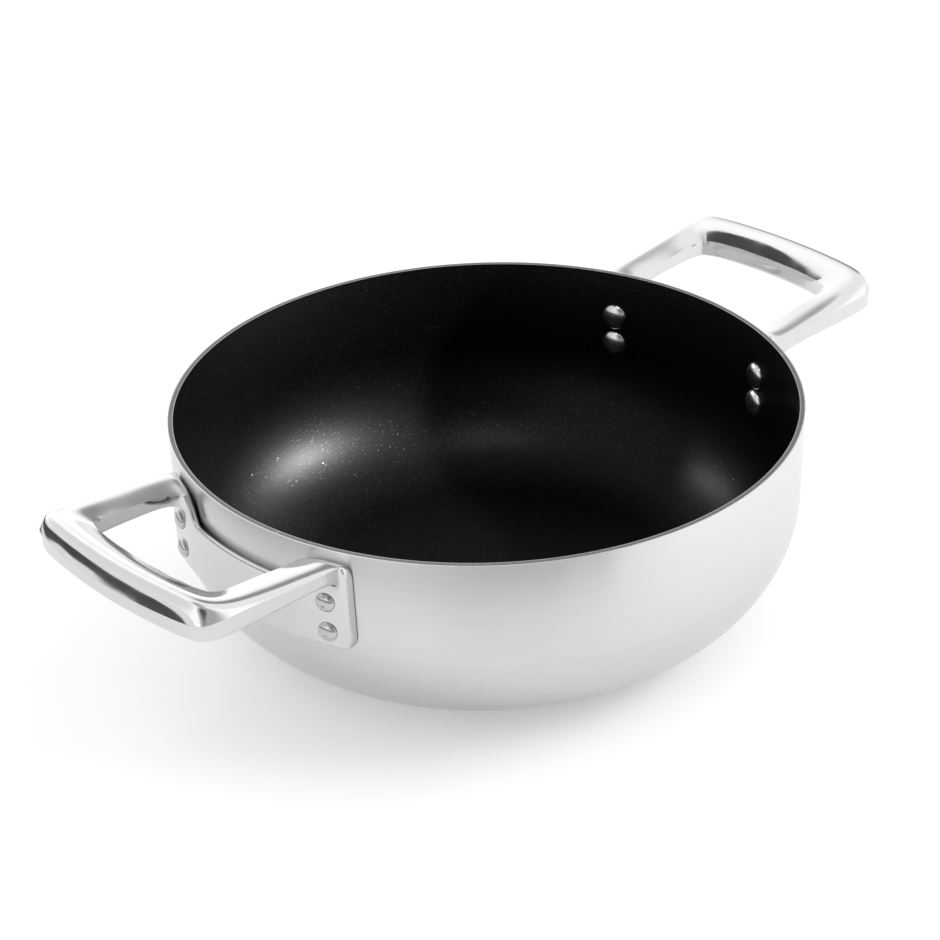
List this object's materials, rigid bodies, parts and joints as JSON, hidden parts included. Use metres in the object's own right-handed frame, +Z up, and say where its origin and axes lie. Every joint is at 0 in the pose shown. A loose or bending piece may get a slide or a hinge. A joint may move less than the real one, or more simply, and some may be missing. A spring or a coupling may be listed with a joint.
{
  "type": "serving pan",
  "caption": "Deep round serving pan of clad sheet with a rounded base corner, a dark non-stick inside and a riveted loop handle on each side.",
  "frame": {"origin": "centre of the underside of the base", "axes": "+X through the two handles, +Y across the pan, +Z up out of the bowl"},
  "size_m": [0.3866, 0.26, 0.0986],
  "materials": {
    "satin_steel": "satin stainless steel, finely brushed round the wall",
    "aluminium": "bare cut edge",
    "liner_steel": "satin, bare only at the cut edge",
    "nonstick": "black non-stick coating with fine bright flecks",
    "polished_steel": "polished cast stainless steel",
    "rivet_steel": "polished stainless steel"
  },
  "bodies": {
    "root": {"outer_steel_skin": "satin_steel", "aluminium_core": "aluminium", "inner_steel_skin": "liner_steel", "nonstick_coating": "nonstick", "handle_right": "polished_steel", "handle_left": "polished_steel", "rivet_right_front_upper": "rivet_steel", "rivet_right_front_lower": "rivet_steel", "rivet_right_rear_upper": "rivet_steel", "rivet_right_rear_lower": "rivet_steel", "rivet_left_front_upper": "rivet_steel", "rivet_left_front_lower": "rivet_steel", "rivet_left_rear_upper": "rivet_steel", "rivet_left_rear_lower": "rivet_steel"}
  },
  "joints": []
}
